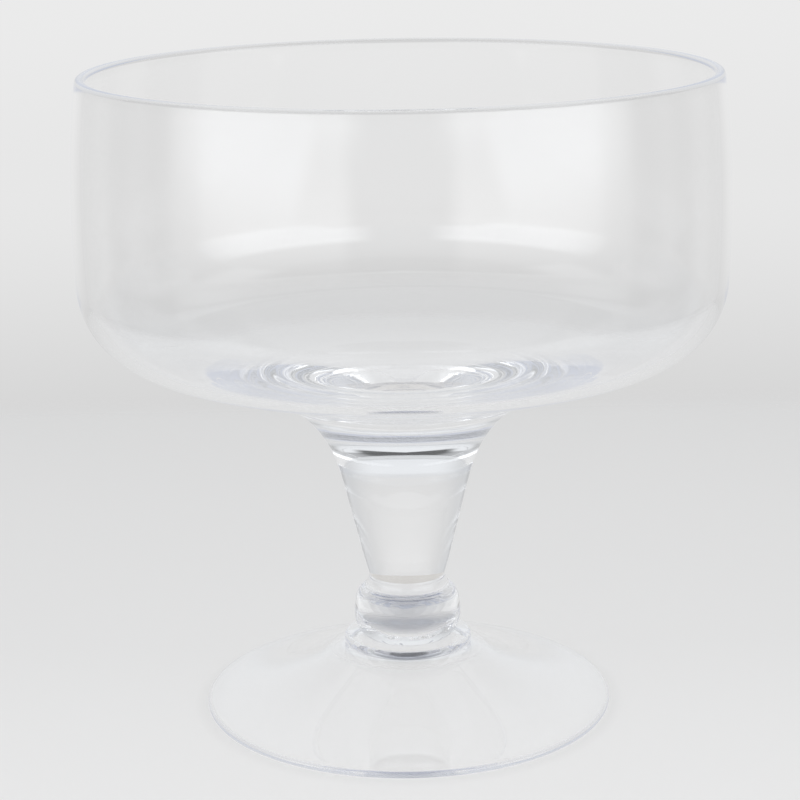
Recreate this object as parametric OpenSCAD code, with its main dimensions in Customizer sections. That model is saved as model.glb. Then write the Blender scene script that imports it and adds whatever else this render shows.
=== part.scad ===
// Footed trifle bowl in clear glass, with its origin at the middle of the ring that it stands on.
// A blown bowl, a drawn stem, a knop, a collar and a hollow foot are separate gathers of glass.
// Each one is fused face to face with the next, on a flat round seat.

/* [Foot] */
// Diameter of the foot at its edge
foot_d = 138.5; // [120:0.5:170]
// Height of the foot, from the table to the collar's seat
foot_h = 22.2; // [19:0.2:29]
// Thickness of the foot's rounded edge, which the glass keeps up to the dome of the hollow
foot_edge = 2.4; // [1.8:0.1:4]
// Slope of the foot's top where it leaves the edge, in degrees
foot_slope = 9; // [4:0.5:14]
// Width of the flat ring that the foot stands on
rest_w = 1; // [0.6:0.1:2.5]
// Thickness of the glass over the top of the hollow, up to the collar's seat
foot_middle = 1.1; // [0.8:0.1:4]

/* [Collar] */
// Diameter of the collar at its widest
collar_d = 43.6; // [40:0.2:50]
// Height of the collar, from its seat to the crease under the knop
collar_h = 2.1; // [1.6:0.1:4]
// Radius of the collar's gently rounded top
collar_r = 20; // [12:1:40]
// Radius of the collar's outer edge, half of which is below the seat, on the foot
collar_edge = 2; // [1:0.1:2.2]

/* [Knop] */
// Diameter of the crease between the knop and the collar
crease_d = 30.8; // [29:0.2:32]
// Height of the knop, from the crease to the neck
knop_h = 21.1; // [20:0.1:23]
// How far the knop swells out past the crease
knop_swell = 2.7; // [2:0.1:3.4]
// Height of the knop's widest ring above the crease
knop_belly = 6.7; // [5:0.1:8]
// Radius of the knop's side above its widest ring
barrel_r = 38; // [28:1:60]
// Radius of the knop's shoulder
shoulder_r = 8; // [6:0.2:9]
// Radius of the hollow between the shoulder and the neck
throat_r = 5; // [4:0.1:5.6]
// Length of the straight neck above that hollow
neck_len = 0.5; // [0.2:0.1:1.2]

/* [Stem] */
// Diameter of the neck, where the stem stands on the knop
neck_d = 26; // [24:0.2:28]
// Height from the neck to the point that the bowl's underside aims at
stem_h = 51.1; // [44:0.5:80]
// Slope of the stem's side from upright, in degrees
stem_taper = 14; // [9:0.5:18]
// Radius of the flare between the stem and the bowl's underside
flare_r = 43; // [30:1:50]

/* [Bowl] */
// Outer diameter of the rim
rim_d = 208; // [185:1:235]
// Height from the point that the underside aims at to the rim
bowl_h = 119.8; // [105:0.5:140]
// Thickness of the wall
wall = 3.3; // [2:0.1:5]
// How far the wall swells out past the rim
belly_swell = 3; // [1:0.1:6]
// Depth of the widest ring below the rim
belly_drop = 50; // [35:1:60]
// Outer radius of the corner between wall and underside
corner_r = 26.5; // [18:0.5:36]
// Slope of the underside, in degrees
underside = 17.4; // [14:0.2:20]
// Glass under the middle of the floor, down to the point that the underside aims at
floor_t = 17.5; // [14:0.5:22]
// Radius of the dished floor
floor_r = 300; // [240:10:400]
// Inner radius of the corner between wall and floor
inner_corner_r = 24; // [16:0.5:30]

/* [Hidden] */
$fn = 180;
arc_steps = 24;
glass = [0.86, 0.89, 0.93, 0.45];

// Heights of the seats, from the table up
crease_z = foot_h + collar_h;
neck_z = crease_z + knop_h;
aim_z = neck_z + stem_h;
rim_z = aim_z + bowl_h;

// Radii that two pieces share
crease_r = crease_d / 2;
neck_r = neck_d / 2;

// Points along an arc, from one angle to another
function arc(centre, radius, from, to) =
    [for (i = [0:arc_steps]) let (a = from + (to - from) * i / arc_steps) centre + radius * [cos(a), sin(a)]];

// Angle of a point seen from a centre
function angle_of(centre, point) = atan2(point.y - centre.y, point.x - centre.x);

// The point at given distances from two centres, on the right of the line from the first to the second
function meet(first, first_r, second, second_r) =
    let (
        span = norm(second - first),
        along = (span * span + first_r * first_r - second_r * second_r) / (2 * span),
        aside = sqrt(first_r * first_r - along * along),
        ahead = (second - first) / span
    )
    first + along * ahead + aside * [ahead.y, -ahead.x];

// A solid of revolution about the upright axis
module turned(profile) {
    color(glass) rotate_extrude() polygon(profile);
}

// Collar's outer edge: a small round that foot and collar share, with the seat at its widest ring
edge_fold = 35;
seat_r = collar_d / 2;
collar_edge_c = [seat_r - collar_edge, foot_h];

// Foot's top: an arc that leaves the rounded edge at its slope and ends at the fold below the collar
foot_edge_r = foot_edge / 2;
foot_edge_c = [foot_d / 2 - foot_edge_r, foot_edge_r];
foot_normal = [sin(foot_slope), cos(foot_slope)];
foot_top_end = foot_edge_c + foot_edge_r * foot_normal;
fold = collar_edge_c + collar_edge * [cos(edge_fold), -sin(edge_fold)];
foot_rise = fold - foot_top_end;
foot_top_r = foot_rise * foot_rise / (2 * foot_rise * foot_normal);
foot_top_c = foot_top_end + foot_top_r * foot_normal;

// Foot's hollow: an arc about the same centre as the top, which runs smoothly into a dome on the axis
ring = [foot_edge_c.x - rest_w, 0];
hollow_r = norm(ring - foot_top_c);
dome_top = [0, foot_h - foot_middle];
dome_reach = foot_top_c - dome_top;
dome_r = (dome_reach * dome_reach - hollow_r * hollow_r) / (2 * (hollow_r - dome_reach.y));
dome_c = dome_top - [0, dome_r];
dome_angle = angle_of(dome_c, foot_top_c);

module foot() {
    turned(concat(
        [[0, foot_h]],
        arc(collar_edge_c, collar_edge, 0, -edge_fold),
        arc(foot_top_c, foot_top_r, angle_of(foot_top_c, fold), angle_of(foot_top_c, foot_top_end)),
        arc(foot_edge_c, foot_edge_r, 90 - foot_slope, -90),
        arc(foot_top_c, hollow_r, angle_of(foot_top_c, ring), dome_angle - 180),
        arc(dome_c, dome_r, dome_angle, 90)
    ));
}

// Collar's top: an arc from the crease that runs smoothly into the outer edge
crease = [crease_r, crease_z];
collar_top_c = meet(crease, collar_r, collar_edge_c, collar_r - collar_edge);

module collar() {
    turned(concat(
        [[0, crease_z]],
        arc(collar_top_c, collar_r, angle_of(collar_top_c, crease), angle_of(collar_top_c, collar_edge_c)),
        arc(collar_edge_c, collar_edge, angle_of(collar_top_c, collar_edge_c), 0),
        [[0, foot_h]]
    ));
}

// Knop: a round underside from the crease to the widest ring, a barrelled side above it,
// a convex shoulder and a concave throat up to the straight neck
under_r = (knop_belly * knop_belly + knop_swell * knop_swell) / (2 * knop_swell);
widest = [crease_r + knop_swell, crease_z + knop_belly];
under_c = widest - [under_r, 0];
barrel_c = widest - [barrel_r, 0];
throat_c = [neck_r + throat_r, neck_z - neck_len];
shoulder_c = meet(barrel_c, barrel_r - shoulder_r, throat_c, shoulder_r + throat_r);

module knop() {
    turned(concat(
        [[0, crease_z]],
        arc(under_c, under_r, angle_of(under_c, crease), 0),
        arc(barrel_c, barrel_r, 0, angle_of(barrel_c, shoulder_c)),
        arc(shoulder_c, shoulder_r, angle_of(barrel_c, shoulder_c), angle_of(shoulder_c, throat_c)),
        arc(throat_c, throat_r, angle_of(throat_c, shoulder_c) + 360, 180),
        [[neck_r, neck_z], [0, neck_z]]
    ));
}

// Flare: an arc that fits between the stem's side and the bowl's underside
// Bowl and stem part on it, where it leans at 45 degrees
side_dir = [sin(stem_taper), cos(stem_taper)];
under_dir = [cos(underside), sin(underside)];
under_up = [-sin(underside), cos(underside)];
aim = [0, aim_z];
flare_corner_r = (neck_r + stem_h * tan(stem_taper)) / (1 - tan(underside) * tan(stem_taper));
flare_corner = aim + flare_corner_r / cos(underside) * under_dir;
flare_reach = flare_r * tan((90 - stem_taper - underside) / 2);
flare_c = flare_corner + flare_reach * under_dir - flare_r * under_up;
part_angle = 135;
part_at = flare_c + flare_r * [cos(part_angle), sin(part_angle)];

module stem() {
    turned(concat(
        [[0, neck_z], [neck_r, neck_z]],
        arc(flare_c, flare_r, 180 - stem_taper, part_angle),
        [[0, part_at.y]]
    ));
}

// Lip: half a round on the wall's top edge
lip_r = wall / 2;
lip_c = [rim_d / 2 - lip_r, rim_z - lip_r];

// Wall: an arc through the widest ring that runs smoothly into the lip
belly = [rim_d / 2 + belly_swell, rim_z - belly_drop];
belly_to_lip = lip_c - belly;
wall_r = (belly_to_lip * belly_to_lip - lip_r * lip_r) / (2 * belly_swell);
wall_c = belly - [wall_r, 0];
lip_angle = angle_of(wall_c, lip_c);

// Outer corner: an arc that fits between the wall and the underside
corner_base = aim + corner_r * under_up - wall_c;
corner_back = corner_base * under_dir;
corner_gap = wall_r - corner_r;
corner_along = sqrt(corner_back * corner_back - corner_base * corner_base + corner_gap * corner_gap) - corner_back;
corner_c = aim + corner_r * under_up + corner_along * under_dir;
corner_angle = angle_of(wall_c, corner_c);

// Inner corner: an arc that fits between the wall's inside and the dished floor
inner_wall_r = wall_r - wall;
floor_c = [0, aim_z + floor_t + floor_r];
inner_corner_c = meet(wall_c, inner_wall_r - inner_corner_r, floor_c, floor_r - inner_corner_r);
inner_corner_angle = angle_of(wall_c, inner_corner_c);
floor_angle = angle_of(floor_c, inner_corner_c);

module bowl() {
    turned(concat(
        [[0, part_at.y]],
        arc(flare_c, flare_r, part_angle, 90 + underside),
        arc(corner_c, corner_r, underside - 90, corner_angle),
        arc(wall_c, wall_r, corner_angle, lip_angle),
        arc(lip_c, lip_r, lip_angle, lip_angle + 180),
        arc(wall_c, inner_wall_r, lip_angle, inner_corner_angle),
        arc(inner_corner_c, inner_corner_r, inner_corner_angle, floor_angle),
        arc(floor_c, floor_r, floor_angle, -90)
    ));
}

bowl();
stem();
knop();
collar();
foot();
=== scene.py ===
# %% [markdown]
# # A footed trifle bowl in clear glass
# The real bowl is put together hot, from gathers of glass that are fused one on another: a blown bowl, a
# drawn stem, a knop, a collar and a hollow foot. Nothing on it moves, and all of it is one kind of glass.
# So this lesson is about two things: turning clean, closed pieces from the CAD outlines, and lighting
# clear glass.
#
# The CAD part comes in first, as a fixed frame. Every piece made here rides on it and stands for one of
# its nodes.

# %% Load the frame
import math
import random

import bpy
import numpy as np
from mathutils import Matrix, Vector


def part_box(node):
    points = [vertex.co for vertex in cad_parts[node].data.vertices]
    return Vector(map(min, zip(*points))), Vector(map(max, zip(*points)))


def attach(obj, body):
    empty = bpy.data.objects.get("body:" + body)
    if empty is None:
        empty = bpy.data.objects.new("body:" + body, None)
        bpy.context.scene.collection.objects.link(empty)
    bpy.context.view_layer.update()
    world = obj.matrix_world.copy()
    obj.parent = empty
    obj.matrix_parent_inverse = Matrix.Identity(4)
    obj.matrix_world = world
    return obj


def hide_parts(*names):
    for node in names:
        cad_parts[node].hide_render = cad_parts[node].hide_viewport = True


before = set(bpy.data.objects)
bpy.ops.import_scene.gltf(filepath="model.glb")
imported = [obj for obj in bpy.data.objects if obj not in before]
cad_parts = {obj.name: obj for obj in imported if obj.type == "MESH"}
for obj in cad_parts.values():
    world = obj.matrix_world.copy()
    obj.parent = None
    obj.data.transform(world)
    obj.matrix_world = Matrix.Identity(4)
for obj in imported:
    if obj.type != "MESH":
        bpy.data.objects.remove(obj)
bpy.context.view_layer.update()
print("CAD nodes:", sorted(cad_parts))

# %% [markdown]
# ## The camera
# A product photographer stands back and uses a long lens, so that the rim and the foot keep honest
# ellipses. The camera is placed by numbers: its distance from the bowl's axis, its height over the table
# and its tilt. It has a slight roll, which is why the rim's right end sits a little higher in the picture
# than its left end.

# %% Set up the camera
CAMERA_BACK = 0.7038
CAMERA_HEIGHT = 0.2932
CAMERA_LENS_MM = 97.875
CAMERA_TILT = math.radians(75.1)
CAMERA_ROLL = math.radians(-0.84)
CAMERA_SHIFT = -0.00565
NEAREST_SEEN = 0.01

bpy.ops.object.select_all(action="DESELECT")
bpy.ops.object.camera_add(location=(0, -CAMERA_BACK, CAMERA_HEIGHT))
camera = bpy.context.object
camera.name = "photo_camera"
turn = Matrix.Rotation(CAMERA_TILT, 4, "X") @ Matrix.Rotation(CAMERA_ROLL, 4, "Z")
camera.matrix_world = Matrix.Translation(camera.location) @ turn
camera.data.lens = CAMERA_LENS_MM
camera.data.shift_x = CAMERA_SHIFT
camera.data.clip_start = NEAREST_SEEN
bpy.context.scene.camera = camera
print("Camera", CAMERA_BACK, "m in front of the axis and", CAMERA_HEIGHT, "m up")

# %% [markdown]
# ## Wiring nodes by script
# Materials and surroundings are built from shader nodes. By hand you add a node, type numbers into some of
# its sockets and drag wires into others. One small helper does the same here: it takes the kind of node,
# what goes into its sockets (a number, a colour, or another node's output), and the node's own options.

# %% Write a helper that adds a node
def add(tree, kind, inputs=None, **options):
    """Adds a node to a tree, sets its options and fills its inputs with values or wires."""
    made = tree.nodes.new(kind)
    for name, value in options.items():
        setattr(made, name, value)
    for name, value in (inputs or {}).items():
        if isinstance(value, bpy.types.NodeSocket):
            tree.links.new(value, made.inputs[name])
        else:
            made.inputs[name].default_value = value
    return made


print("Node helper ready:", add.__name__)

# %% [markdown]
# ## The glass
# Clear glass has no colour of its own to paint. What you see is the room, bent and mirrored. Its index of
# refraction says how strongly it bends light. One number on the shader would do, but two things need it to
# change. The pieces touch on flat seats that aren't there in the real glass, because it was fused hot. So a
# face that is marked as a joint gets an index of 1, at which light passes straight on. And light that is
# trapped in the rim or in the foot's edge would end in black when its bounces run out. After 24 steps the
# index drops to 1 for it too, which lets it go. Real glass has no such switch. It is there only to keep
# those edges from turning black.
#
# Two joints can be seen all the same: the neck as a faint tan stain, and the disc low in the knop as
# painted shade. Each face carries a colour for that, white where the glass is clear, and it goes into the
# base colour.

# %% Mix the glass
GLASS_IOR = 1.52
OPEN_IOR = 1.0
LET_GO = 24
JOINT = "fused_joint"
SEAM = "seam_tint"

glass = bpy.data.materials.new("clear_glass")
glass.use_nodes = True
tree = glass.node_tree
shader = tree.nodes["Principled BSDF"]
shader.inputs["Transmission Weight"].default_value = 1.0
shader.inputs["Roughness"].default_value = 0.0
# The face colour holds the neck's tan stain and the painted shade of the knop's disc
seam = add(tree, "ShaderNodeAttribute", attribute_name=SEAM)
tree.links.new(seam.outputs["Color"], shader.inputs["Base Color"])

joint = add(tree, "ShaderNodeAttribute", attribute_name=JOINT).outputs["Fac"]
steps = add(tree, "ShaderNodeLightPath").outputs["Ray Depth"]
late = add(tree, "ShaderNodeMath", {0: steps, 1: LET_GO}, operation="GREATER_THAN").outputs["Value"]
through = add(tree, "ShaderNodeMath", {0: joint, 1: late}, operation="MAXIMUM").outputs["Value"]
ior = add(tree, "ShaderNodeMapRange", {"Value": through, "To Min": GLASS_IOR, "To Max": OPEN_IOR})
tree.links.new(ior.outputs["Result"], shader.inputs["IOR"])
print("Glass with an index of", GLASS_IOR, "and", OPEN_IOR, "on its joints")

# %% [markdown]
# ## Streaks and depth
# Hand-made glass is never quite even. A bump of a few thousandths of a millimetre, drawn out upwards as the
# gather was, makes the reflections waver. A trace of tint in the depth of the glass, as a volume, shows
# only where light has run a long way inside, so thick places turn faintly cool.

# %% Draw streaks into the glass and tint its depth
STREAK_SCALE = (55, 55, 6)
STREAK_DETAIL = 2.0
STREAK_HEIGHT = 2.5e-6
TINT = (0.99, 0.993, 1.0, 1.0)
TINT_DENSITY = 10.0

place = add(tree, "ShaderNodeTexCoord").outputs["Object"]
drawn = add(tree, "ShaderNodeMapping", {"Vector": place, "Scale": STREAK_SCALE}).outputs["Vector"]
noise = {"Vector": drawn, "Scale": 1.0, "Detail": STREAK_DETAIL}
streaks = add(tree, "ShaderNodeTexNoise", noise).outputs["Fac"]
bump = add(tree, "ShaderNodeBump", {"Height": streaks, "Strength": 1.0, "Distance": STREAK_HEIGHT})
tree.links.new(bump.outputs["Normal"], shader.inputs["Normal"])
depth = add(tree, "ShaderNodeVolumeAbsorption", {"Color": TINT, "Density": TINT_DENSITY})
tree.links.new(depth.outputs["Volume"], tree.nodes["Material Output"].inputs["Volume"])
print("Streaks", 1000 * STREAK_HEIGHT, "mm high, in a material of", len(tree.nodes), "nodes")

# %% [markdown]
# ## From the CAD to an outline
# Every piece is round, so all of its shape is in one outline. The CAD mesh carries that outline along its
# seam, on the half-plane where y is 0 and x is positive. Copy the mesh, merge it, select every other vertex
# and delete it: what is left is the line that a turner would cut as a template.

# %% Write helpers that read and pick points
ON_PLANE = 1e-6


def points(piece):
    """The piece's vertices as three rows: all x, all y, all z."""
    flat = np.empty(3 * len(piece.data.vertices))
    piece.data.vertices.foreach_get("co", flat)
    return flat.reshape(-1, 3).T


def pick(piece, wanted):
    """Selects the vertices that wanted() accepts, and nothing else, and stays in edit mode."""
    bpy.ops.object.mode_set(mode="EDIT")
    bpy.ops.mesh.select_mode(type="VERT")
    bpy.ops.mesh.select_all(action="DESELECT")
    bpy.ops.object.mode_set(mode="OBJECT")
    piece.data.vertices.foreach_set("select", wanted(*points(piece)))
    bpy.ops.object.mode_set(mode="EDIT")


def cut_away(piece, unwanted):
    """Deletes the vertices that unwanted() accepts."""
    pick(piece, unwanted)
    bpy.ops.mesh.delete(type="VERT")


print("Points count as being on a plane within", ON_PLANE, "m")

# %% Cut a piece's outline out of its CAD node
def half_section(node, name):
    """A new object with only the outline of a CAD node."""
    piece = bpy.data.objects.new(name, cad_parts[node].data.copy())
    piece.data.name = piece.name
    bpy.context.scene.collection.objects.link(piece)
    bpy.ops.object.select_all(action="DESELECT")
    piece.select_set(True)
    bpy.context.view_layer.objects.active = piece
    bpy.ops.mesh.customdata_custom_splitnormals_clear()
    bpy.ops.object.mode_set(mode="EDIT")
    bpy.ops.mesh.select_all(action="SELECT")
    bpy.ops.mesh.remove_doubles(threshold=ON_PLANE)
    cut_away(piece, lambda x, y, z: (abs(y) > ON_PLANE) | (x < -ON_PLANE))
    return piece


COLLAR_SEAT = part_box("foot")[1].z
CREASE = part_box("knop")[0].z
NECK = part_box("knop")[1].z
FLARE_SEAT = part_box("bowl")[0].z
print("Seats at", [round(1000 * z, 2) for z in (COLLAR_SEAT, CREASE, NECK, FLARE_SEAT)], "mm")

# %% [markdown]
# ## Turning the outline
# At each seat the outline has an open end. Extruding that end to the axis closes it. The new edge is cut
# into short lengths, so that a stain or a painted shade on the seat can fade from ring to ring. Spin
# carries the line round in 256 steps, and merging closes the seam and the points on the axis. Then the
# normals are made to look outward, which glass needs to know its inside from its outside.

# %% Turn a piece
SPIN_STEPS = 256
SEAT_CUTS = 11
SMOOTH_BELOW = math.radians(30)


def turned(piece, seats):
    """Spins an outline, closed at its seats, into a smooth piece."""
    for seat in seats:
        bpy.ops.object.mode_set(mode="OBJECT")
        x, y, z = points(piece)
        end = x[abs(z - seat) < ON_PLANE].max()
        pick(piece, lambda x, y, z: (abs(z - seat) < ON_PLANE) & (abs(x - end) < ON_PLANE))
        bpy.ops.mesh.extrude_region_move(TRANSFORM_OT_translate={"value": (-end, 0, 0)})
        pick(piece, lambda x, y, z: abs(z - seat) < ON_PLANE)
        bpy.ops.mesh.subdivide(number_cuts=SEAT_CUTS)
    bpy.ops.mesh.select_all(action="SELECT")
    bpy.ops.mesh.spin(steps=SPIN_STEPS, angle=2 * math.pi, center=(0, 0, 0), axis=(0, 0, 1))
    bpy.ops.mesh.select_all(action="SELECT")
    bpy.ops.mesh.remove_doubles(threshold=ON_PLANE)
    bpy.ops.mesh.normals_make_consistent(inside=False)
    bpy.ops.object.mode_set(mode="OBJECT")
    bpy.ops.object.shade_smooth_by_angle(angle=SMOOTH_BELOW)


print("Pieces are turned in", SPIN_STEPS, "steps")

# %% [markdown]
# ## Fusing the pieces
# Two seats in one plane would flicker, so each piece draws back from its neighbour by a few thousandths of
# a millimetre, and the faces there are marked as joints. A tint on a seat, a stain at the neck and painted
# shade on the knop's disc, has a colour, a radius inside which it is full and a radius where it has faded
# out. Then the piece gets its glass, rides on the frame and stands for its node.

# %% Fuse a piece to its neighbours
JOINT_GAP = 5e-6
NO_SEAT_TINT = ((1, 1, 1), 0, 1)


def fused(piece, node, seats, seat_tints=None):
    """Marks and parts the joints, gives the piece its glass and ties it to the frame."""
    mesh = piece.data
    middles = np.empty(3 * len(mesh.polygons))
    mesh.polygons.foreach_get("center", middles)
    across, aside, heights = middles.reshape(-1, 3).T
    radius = np.hypot(across, aside)
    x, y, z = points(piece)
    on_joint = np.zeros(len(heights))
    tint = np.ones((len(heights), 4))
    for seat in seats:
        here = abs(heights - seat) < ON_PLANE
        on_joint[here] = 1.0
        # The seat tints hold the neck's stain and the painted shade on the knop's disc
        colour, inner, outer = (seat_tints or {}).get(seat, NO_SEAT_TINT)
        share = np.clip((outer - radius) / (outer - inner), 0, 1)[:, None]
        tint[here, :3] = (1 - share * (1 - np.array(colour)))[here]
        z[abs(z - seat) < ON_PLANE] += JOINT_GAP if seat == z.min() else -JOINT_GAP
    mesh.attributes.new(JOINT, "FLOAT", "FACE").data.foreach_set("value", on_joint)
    mesh.attributes.new(SEAM, "FLOAT_COLOR", "FACE").data.foreach_set("color", tint.ravel())
    mesh.vertices.foreach_set("co", np.stack((x, y, z), axis=1).ravel())
    mesh.materials.clear()
    mesh.materials.append(glass)
    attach(piece, "root")
    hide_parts(node)
    print(piece.name, len(mesh.polygons), "faces,", int(on_joint.sum()), "on its joints")


print("Joints are parted by", 2 * JOINT_GAP, "m")

# %% [markdown]
# ## The bowl
# The bowl was blown: a barrelled wall, a round lower corner and a floor so thick that it works as a lens
# over the stem. Its rim was cut and melted round again in the flame. All of that is in its outline, so it
# only needs turning.

# %% Turn the bowl
bowl = half_section("bowl", "bowl_glass")
turned(bowl, [FLARE_SEAT])
fused(bowl, "bowl", [FLARE_SEAT])

# %% [markdown]
# ## The stem
# The stem was drawn down from a gather, and the tongs left faint rings in its side. The CAD has a straight
# line there. Subdivide that line, and move its new points in by up to a tenth of a millimetre in soft
# waves. Waves this shallow are nearly invisible on the outline, yet they bend the light along the stem's
# edges. Where the stem stands on the knop, a slightly deeper ring and a tan stain on the seat show the
# joint.

# %% Press rings into the stem's outline
# Each ring has a height, a width and a depth
RINGS = [
    (0.0862, 0.0011, 0.00010),
    (0.0826, 0.0009, 0.00008),
    (0.0770, 0.0012, 0.00010),
    (0.0735, 0.0010, 0.00007),
]
NECK_RING = (NECK, 0.0004, 0.00016)
SIDE_FROM = 0.01
SIDE_CUTS = 160


def press_rings(piece, rings):
    """Moves the points on an outline's side inward in soft waves."""
    x, y, z = points(piece)
    for height, width, how_deep in rings:
        x = x - np.where(x > SIDE_FROM, how_deep * np.exp(-(((z - height) / width) ** 2)), 0)
    piece.data.vertices.foreach_set("co", np.stack((x, y, z), axis=1).ravel())


stem = half_section("stem", "stem_glass")
bpy.ops.object.mode_set(mode="OBJECT")
levels = np.sort(points(stem)[2])
side = np.argmax(np.diff(levels))
low, high = levels[side:side + 2]
pick(stem, lambda x, y, z: (z > low - ON_PLANE) & (z < high + ON_PLANE))
bpy.ops.mesh.subdivide(number_cuts=SIDE_CUTS)
bpy.ops.object.mode_set(mode="OBJECT")
press_rings(stem, RINGS + [NECK_RING])
print("Stem's side cut from", round(1000 * low, 1), "to", round(1000 * high, 1), "mm")

# %% Turn the stem
NECK_STAIN = {NECK: ((0.87, 0.85, 0.82), 0, 1)}

turned(stem, [NECK, FLARE_SEAT])
fused(stem, "stem", [NECK, FLARE_SEAT], NECK_STAIN)

# %% [markdown]
# ## The marks in the crease
# A bead of glass was set on the foot and squeezed with a tool, and the crease between knop and collar still
# shows its bite: small uneven notches all the way round. They are pressed into both pieces after turning,
# by moving the rings near the crease inward. How far depends on the angle alone, so the two pieces still
# meet at the crease.

# %% Draw the marks at random
CREASE_MARKS = 46
MARK_WIDTHS = (0.02, 0.05)
MARK_DEPTHS = (0.2, 1.0)

random.seed(8)
marks = []
for _ in range(CREASE_MARKS):
    centre = random.uniform(0, 2 * math.pi)
    width = random.uniform(*MARK_WIDTHS)
    share = random.uniform(*MARK_DEPTHS)
    marks.append((centre, width, share))
print(len(marks), "marks round the crease")

# %% Write a helper that presses the marks
CREASE_REACH = 0.0008
DEEPEST = 0.0006
MARKED_FROM = 0.5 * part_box("knop")[1].x


def press_crease(piece):
    """Moves the vertices near the crease inward, each by the depth of the marks at its angle."""
    x, y, z = points(piece)
    angle = np.arctan2(y, x)
    radius = np.hypot(x, y)
    bite = np.zeros(len(x))
    for centre, width, share in marks:
        away = np.angle(np.exp(1j * (angle - centre)))
        bite = np.maximum(bite, share * np.exp(-(away / width) ** 2))
    near = np.exp(-((z - CREASE) / CREASE_REACH) ** 2) * (radius > MARKED_FROM)
    pressed = DEEPEST * bite * near
    drawn_in = 1 - pressed / np.maximum(radius, ON_PLANE)
    piece.data.vertices.foreach_set("co", np.stack((x * drawn_in, y * drawn_in, z), axis=1).ravel())
    print(piece.name, "pressed by up to", round(1000 * pressed.max(), 2), "mm")


print("Marks reach", 1000 * CREASE_REACH, "mm from the crease")

# %% [markdown]
# ## The knop
# The knop is a barrel-shaped bead, solid glass all through. Low inside it, its middle looks dark, and that
# shade is painted here as a grey disc. Only a face can be tinted, and a closed piece has none inside. So
# the outline is cut in two at that height, and both halves stand for the knop. The painted shade is
# darkest in the middle and fades before it reaches the side.

# %% Turn the knop above its inner disc
DISC_HEIGHT = 0.0282
# The disc's bluish grey is painted shade for the knop's dark middle
DISC_PAINTED_SHADE = ((0.58, 0.59, 0.63), 0.005, 0.0135)

knop = half_section("knop", "knop_glass")
bpy.ops.object.mode_set(mode="OBJECT")
levels = points(knop)[2]
DISC = levels[np.argmin(abs(levels - DISC_HEIGHT))]
press_rings(knop, [NECK_RING])
cut_away(knop, lambda x, y, z: z < DISC - ON_PLANE)
turned(knop, [DISC, NECK])
# The neck gets its tan stain, and the disc gets its painted shade
fused(knop, "knop", [DISC, NECK], NECK_STAIN | {DISC: DISC_PAINTED_SHADE})
print("Disc at", round(1000 * DISC, 2), "mm")

# %% Turn the knop below its inner disc
knop_base = half_section("knop", "knop_base_glass")
cut_away(knop_base, lambda x, y, z: z > DISC + ON_PLANE)
turned(knop_base, [CREASE, DISC])
press_crease(knop_base)
# The lower half takes the same painted shade on the disc
fused(knop_base, "knop", [CREASE, DISC], {DISC: DISC_PAINTED_SHADE})

# %% [markdown]
# ## The collar and the foot
# The collar is a flattened bead between knop and foot. The foot is a thin cone that was spun open while
# soft, so its underside is hollow and follows its top, up to a dome under the collar. It stands on a narrow
# ring inside its rounded edge. Both only need turning, and the collar takes its half of the crease's marks.

# %% Turn the collar and the foot
collar = half_section("collar", "collar_glass")
turned(collar, [COLLAR_SEAT, CREASE])
press_crease(collar)
fused(collar, "collar", [COLLAR_SEAT, CREASE])

foot = half_section("foot", "foot_glass")
turned(foot, [COLLAR_SEAT])
fused(foot, "foot", [COLLAR_SEAT])

# %% [markdown]
# ## The table
# Under the bowl is a plain pale table, a rectangle whose far edge fades into the backdrop as a soft
# horizon. Most of its tone is its own light, so that glass shows it at the same level as the eye does. The
# rest is an ordinary matt surface, which keeps the bowl's soft shadow. Its tone also holds painted light:
# it is a little lighter in front, where the window light falls, and darker towards the back. A narrow ring
# under the foot's edge is a painted shadow, a little darker.

# %% Lay the table
TABLE_SIZE = (1.0, 0.80)
TABLE_CENTRE = 0.02
TABLE_DROP = 0.0002

bpy.ops.mesh.primitive_plane_add(size=1, location=(0, TABLE_CENTRE, -TABLE_DROP))
table = bpy.context.object
table.name = "table"
table.scale = (*TABLE_SIZE, 1)
bpy.ops.object.transform_apply(location=True, rotation=False, scale=True)
print("Table", TABLE_SIZE, "m")

# %% Grade the table's painted window light from front to back, and paint a shadow ring round the foot
# Each tone has its place from front to back, and each shade its radius
# The tones are painted light, lighter in front where window light falls; the shades are a painted shadow
TABLE_TONES = [(-0.10, 0.80), (-0.02, 0.775), (0.05, 0.745), (0.22, 0.72), (0.40, 0.685)]
FOOT_SHADES = [(0.0645, 1.0), (0.0693, 0.94), (0.0745, 1.0)]


def ramp(tree, value, stops):
    """A colour ramp of greys. Each stop has a place from 0 to 1 and a tone."""
    made = add(tree, "ShaderNodeValToRGB", {"Fac": value})
    while len(made.color_ramp.elements) < len(stops):
        made.color_ramp.elements.new(0.5)
    for stop, (where, tone) in zip(made.color_ramp.elements, stops):
        stop.position = where
        stop.color = (tone, tone, tone, 1)
    return made.outputs["Color"]


paint = bpy.data.materials.new("table_paint")
paint.use_nodes = True
tree = paint.node_tree
place = add(tree, "ShaderNodeTexCoord").outputs["Object"]
split = add(tree, "ShaderNodeSeparateXYZ", {"Vector": place})
near, far = TABLE_TONES[0][0], TABLE_TONES[-1][0]
along = add(tree, "ShaderNodeMapRange", {"Value": split.outputs["Y"], "From Min": near, "From Max": far})
stops = [((where - near) / (far - near), tone) for where, tone in TABLE_TONES]
tones = ramp(tree, along.outputs["Result"], stops)
outward = add(tree, "ShaderNodeVectorMath", {0: place}, operation="LENGTH").outputs["Value"]
shade = ramp(tree, outward, FOOT_SHADES)
print("Table's tone from", TABLE_TONES[0][1], "in front to", TABLE_TONES[-1][1], "behind")

# %% Mix the table's own light with a matt surface
OWN_LIGHT = 0.85
OWN_STRENGTH = 1.075

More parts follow.
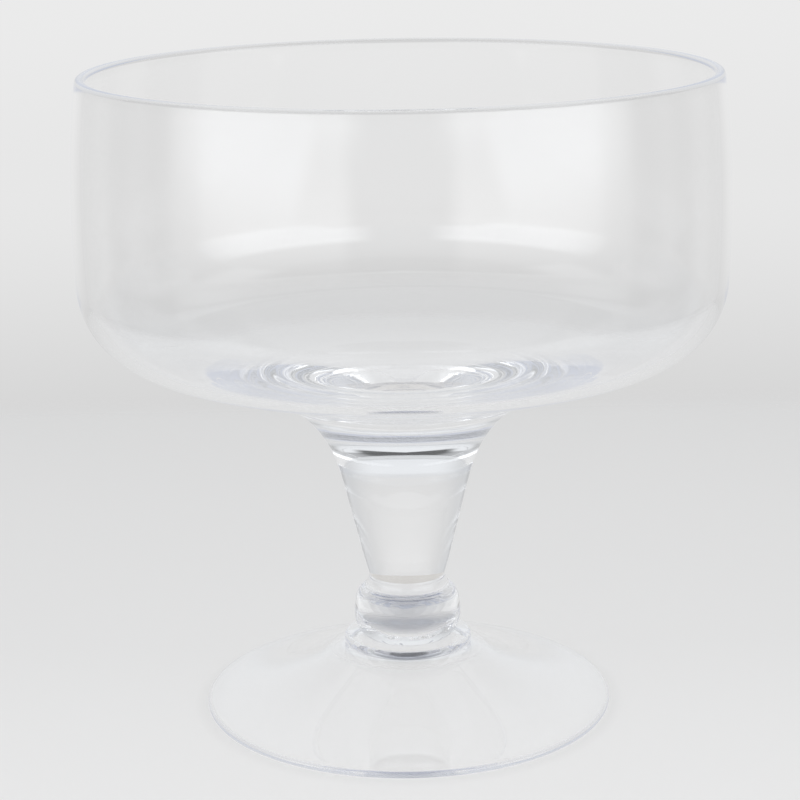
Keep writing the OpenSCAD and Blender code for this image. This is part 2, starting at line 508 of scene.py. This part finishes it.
strength = add(tree, "ShaderNodeMath", {0: shade, 1: OWN_STRENGTH}, operation="MULTIPLY").outputs["Value"]
own = add(tree, "ShaderNodeEmission", {"Color": tones, "Strength": strength}).outputs["Emission"]
matt = add(tree, "ShaderNodeBsdfDiffuse", {"Color": tones}).outputs["BSDF"]
mixed = add(tree, "ShaderNodeMixShader", {0: OWN_LIGHT, 1: matt, 2: own}).outputs["Shader"]
print("Table's own light makes up", OWN_LIGHT, "of its tone")

# %% Fade the table's edges
FADE = 0.06

fades = []
for axis, middle, length in (("X", 0.0, TABLE_SIZE[0]), ("Y", TABLE_CENTRE, TABLE_SIZE[1])):
    moved = add(tree, "ShaderNodeMath", {0: split.outputs[axis], 1: middle}, operation="SUBTRACT")
    out = add(tree, "ShaderNodeMath", {0: moved.outputs["Value"]}, operation="ABSOLUTE")
    inputs = {"Value": out.outputs["Value"], "From Min": length / 2 - FADE, "From Max": length / 2}
    fades.append(add(tree, "ShaderNodeMapRange", inputs, interpolation_type="SMOOTHSTEP").outputs["Result"])
edge = add(tree, "ShaderNodeMath", {0: fades[0], 1: fades[1]}, operation="MAXIMUM").outputs["Value"]
clear = add(tree, "ShaderNodeBsdfTransparent").outputs["BSDF"]
faded = add(tree, "ShaderNodeMixShader", {0: edge, 1: mixed, 2: clear})
tree.links.new(faded.outputs["Shader"], tree.nodes["Material Output"].inputs["Surface"])
table.data.materials.append(paint)
print("Table fades over", FADE, "m, with", len(tree.nodes), "nodes")

# %% [markdown]
# ## The room
# Clear glass is lit by what surrounds it, so the room is built by direction, in the world's nodes. Two
# angles in degrees give a direction: its elevation over the table, and its azimuth, which is 0 towards the
# camera and 180 behind the bowl. Left and right are alike. Four small helpers do the sums, the soft edges,
# the mixes and the places where several edges meet.

# %% Start the room and measure every direction
scene = bpy.context.scene
world = bpy.data.worlds.new("room")
scene.world = world
world.use_nodes = True
tree = world.node_tree
background = tree.nodes["Background"]


def calc(operation, a, b=0.0):
    """One step of arithmetic on numbers or wires."""
    return add(tree, "ShaderNodeMath", {0: a, 1: b}, operation=operation).outputs["Value"]


def rising(value, start, end):
    """0 before start, 1 after end, and a soft rise between. With start past end it falls."""
    inputs = {"Value": value, "From Min": start, "From Max": end}
    return add(tree, "ShaderNodeMapRange", inputs, interpolation_type="SMOOTHSTEP").outputs["Result"]


def blend(share, a, b):
    """a where share is 0, b where it is 1."""
    return add(tree, "ShaderNodeMix", {"Factor": share, "A": a, "B": b}).outputs["Result"]


def where_all(first, *others):
    """1 only where every share is 1."""
    for other in others:
        first = calc("MULTIPLY", first, other)
    return first


direction = add(tree, "ShaderNodeTexCoord").outputs["Generated"]
right, back, up = add(tree, "ShaderNodeSeparateXYZ", {"Vector": direction}).outputs
elevation = calc("DEGREES", calc("ARCSINE", up))
azimuth = calc("DEGREES", calc("ABSOLUTE", calc("ARCTAN2", right, calc("MULTIPLY", back, -1.0))))
path = add(tree, "ShaderNodeLightPath")
bounces = path.outputs["Ray Depth"]
print("Room measured by elevation and azimuth, with", len(tree.nodes), "nodes")

# %% [markdown]
# ## Backdrop and walls
# Behind the bowl is a pale backdrop that gets lighter from the table up. Above it the wall is greyer just
# over the horizon, and paler higher up. One grey band on that wall is no real thing: only light that has
# bounced more than about six times sees it, and it draws the dark line under the collar. The sides are
# dark, which gives the glass its edges. The wall in front is grey, and the ceiling over it is almost
# black, which draws the dark line at the top of the stem.

# %% Hang the backdrop
# Each rise has the elevations where it starts and ends, and the tone that it leads to
BACKDROP_FOOT = 0.66
BACKDROP_RISES = [(-16.5, -9, 0.80), (-9, -4, 0.83)]
WALL_RISES = [(-5, -1, 0.75), (3, 12, 0.87)]


def climbing(tone, rises):
    """A tone that changes in soft steps from the table up."""
    for start, end, level in rises:
        tone = blend(rising(elevation, start, end), tone, level)
    return tone


backdrop = climbing(BACKDROP_FOOT, BACKDROP_RISES)
room = climbing(backdrop, WALL_RISES)
print("Backdrop from", BACKDROP_FOOT, "to", BACKDROP_RISES[-1][-1])

# %% Add the grey band
BAND_BOTTOM = (30, 34)
BAND_TOP = (42, 38)
BAND_BEHIND = (120, 140)
BAND_BOUNCES = (5.5, 7)
BAND_TONE = 0.55

band = where_all(rising(elevation, *BAND_BOTTOM), rising(elevation, *BAND_TOP))
band = where_all(band, rising(bounces, *BAND_BOUNCES), rising(azimuth, *BAND_BEHIND))
room = blend(band, room, BAND_TONE)
print("Band from", BAND_BOTTOM[0], "to", BAND_TOP[0], "degrees up")

# %% Darken the sides
SIDE_START = (76, 86)
SIDE_END = (164, 128)
SIDE_CHANGE = (108, 124)
SIDE_TONES = (0.36, 0.64)
UPPER_WALL = (38, 48)
UPPER_TONE = 0.88

sides = where_all(rising(azimuth, *SIDE_START), rising(azimuth, *SIDE_END))
room = blend(sides, room, blend(rising(azimuth, *SIDE_CHANGE), *SIDE_TONES))
room = blend(rising(elevation, *UPPER_WALL), room, UPPER_TONE)
print("Sides at a tone of", SIDE_TONES[0], "and", SIDE_TONES[1])

# %% Close the front and the ceiling
FRONT_EDGE = (88, 78)
FRONT_RISE = (30, 62)
FRONT_TONES = (0.58, 0.35)
CEILING_RISE = (54, 66)
CEILING_EDGE = (122, 104)
CEILING_TONE = 0.08

front = blend(rising(elevation, *FRONT_RISE), *FRONT_TONES)
room = blend(rising(azimuth, *FRONT_EDGE), room, front)
ceiling = where_all(rising(elevation, *CEILING_RISE), rising(azimuth, *CEILING_EDGE))
room = blend(ceiling, room, CEILING_TONE)
print("Ceiling at a tone of", CEILING_TONE)

# %% [markdown]
# ## Windows and shelf
# In front are two soft windows, left and right of the camera, over a pale shelf. Their reflections are the
# two broad pale patches on the bowl's wall. The sill drops towards the side. A ray that has only passed
# through glass would show them as bright shapes inside the bowl, so only a ray that was mirrored at least
# once sees them. Light that has been trapped for long loses the windows, or it would sparkle.

# %% Shape the windows and the shelf
OPENING_SIDE = (90, 63)
OPENING_TOP = (34, 23)
WINDOW_INNER = (9, 22)
WINDOW_BOTTOM = (-5, 4)
SILL_CHANGE = (26, 38)
SILL_HEIGHTS = (5.0, -3.0)
SHELF_INNER = (15, 22)
SHELF_BOTTOM = (-13, -6)

opening = where_all(rising(azimuth, *OPENING_SIDE), rising(elevation, *OPENING_TOP))
shelf = where_all(opening, rising(azimuth, *SHELF_INNER), rising(elevation, *SHELF_BOTTOM))
above_sill = calc("SUBTRACT", elevation, blend(rising(azimuth, *SILL_CHANGE), *SILL_HEIGHTS))
window = where_all(opening, rising(azimuth, *WINDOW_INNER), rising(above_sill, *WINDOW_BOTTOM))
print("Windows reach up to", OPENING_TOP[0], "degrees")

# %% Light the windows and the shelf
MIRRORED_ONCE = 0.5
WINDOW_FADES = (18, 9)
WINDOW_TONE = 2.0
SHELF_TONE = 1.15

turned_back = calc("SUBTRACT", bounces, path.outputs["Transmission Depth"])
mirrored = calc("GREATER_THAN", turned_back, MIRRORED_ONCE)
shelf = where_all(shelf, mirrored)
window = where_all(window, mirrored, rising(bounces, *WINDOW_FADES))
room = blend(shelf, room, SHELF_TONE)
room = blend(window, room, WINDOW_TONE)
print("Windows at a tone of", WINDOW_TONE)

# %% [markdown]
# ## Trapped light, and what the camera sees
# Light that has bounced along inside the wall for long comes out at the rim and at the foot's edge. It
# no longer holds a picture of the room, so it gets one even tone of pale blue, which is how those edges
# look on the real bowl. The camera itself sees only the plain backdrop. Window light, and light from above
# the horizon, is a little cool.

# %% Give trapped light its tone, and the camera its backdrop
TRAPPED_BOUNCES = (11, 24)
TRAPPED_TONE = 0.67

trapped = rising(bounces, *TRAPPED_BOUNCES)
room = blend(trapped, room, TRAPPED_TONE)
to_camera = path.outputs["Is Camera Ray"]
room = blend(to_camera, room, backdrop)
print("Trapped light at a tone of", TRAPPED_TONE)

# %% Tint the light and wire up the room
NEUTRAL = (1, 1, 1, 1)
COOL = (0.945, 0.97, 1.0, 1)
COOL_RISE = (-3, 10)
EDGE_TINT = (0.82, 0.865, 1.0, 1)


def tinted(share, a, b):
    """Colour a where share is 0, b where it is 1. A colour's sockets on this node go by number."""
    return add(tree, "ShaderNodeMix", {0: share, 6: a, 7: b}, data_type="RGBA").outputs[2]


cool = calc("MAXIMUM", window, rising(elevation, *COOL_RISE))
cool = where_all(cool, calc("SUBTRACT", 1.0, to_camera))
tint = tinted(trapped, tinted(cool, NEUTRAL, COOL), EDGE_TINT)
tree.links.new(tint, background.inputs["Color"])
tree.links.new(room, background.inputs["Strength"])
print("Room with", len(tree.nodes), "nodes")

# %% [markdown]
# ## Letting light travel
# Light that enters glass at an edge is trapped, and bounces along inside the wall many times before it
# leaves. Cut short, those paths turn black, and so would the rim. So the limits on bounces are raised well
# past the step at which the glass lets light go. Blurring reflections after a soft bounce is switched off,
# because it swallows the light that reaches the table through the glass.

# %% Set the light paths
BOUNCES = 80
CLEAR_BOUNCES = 64

scene.view_settings.view_transform = "Standard"
scene.cycles.max_bounces = BOUNCES
scene.cycles.glossy_bounces = BOUNCES
scene.cycles.transmission_bounces = BOUNCES
scene.cycles.transparent_max_bounces = CLEAR_BOUNCES
scene.cycles.blur_glossy = 0.0
print("Light may bounce", BOUNCES, "times")
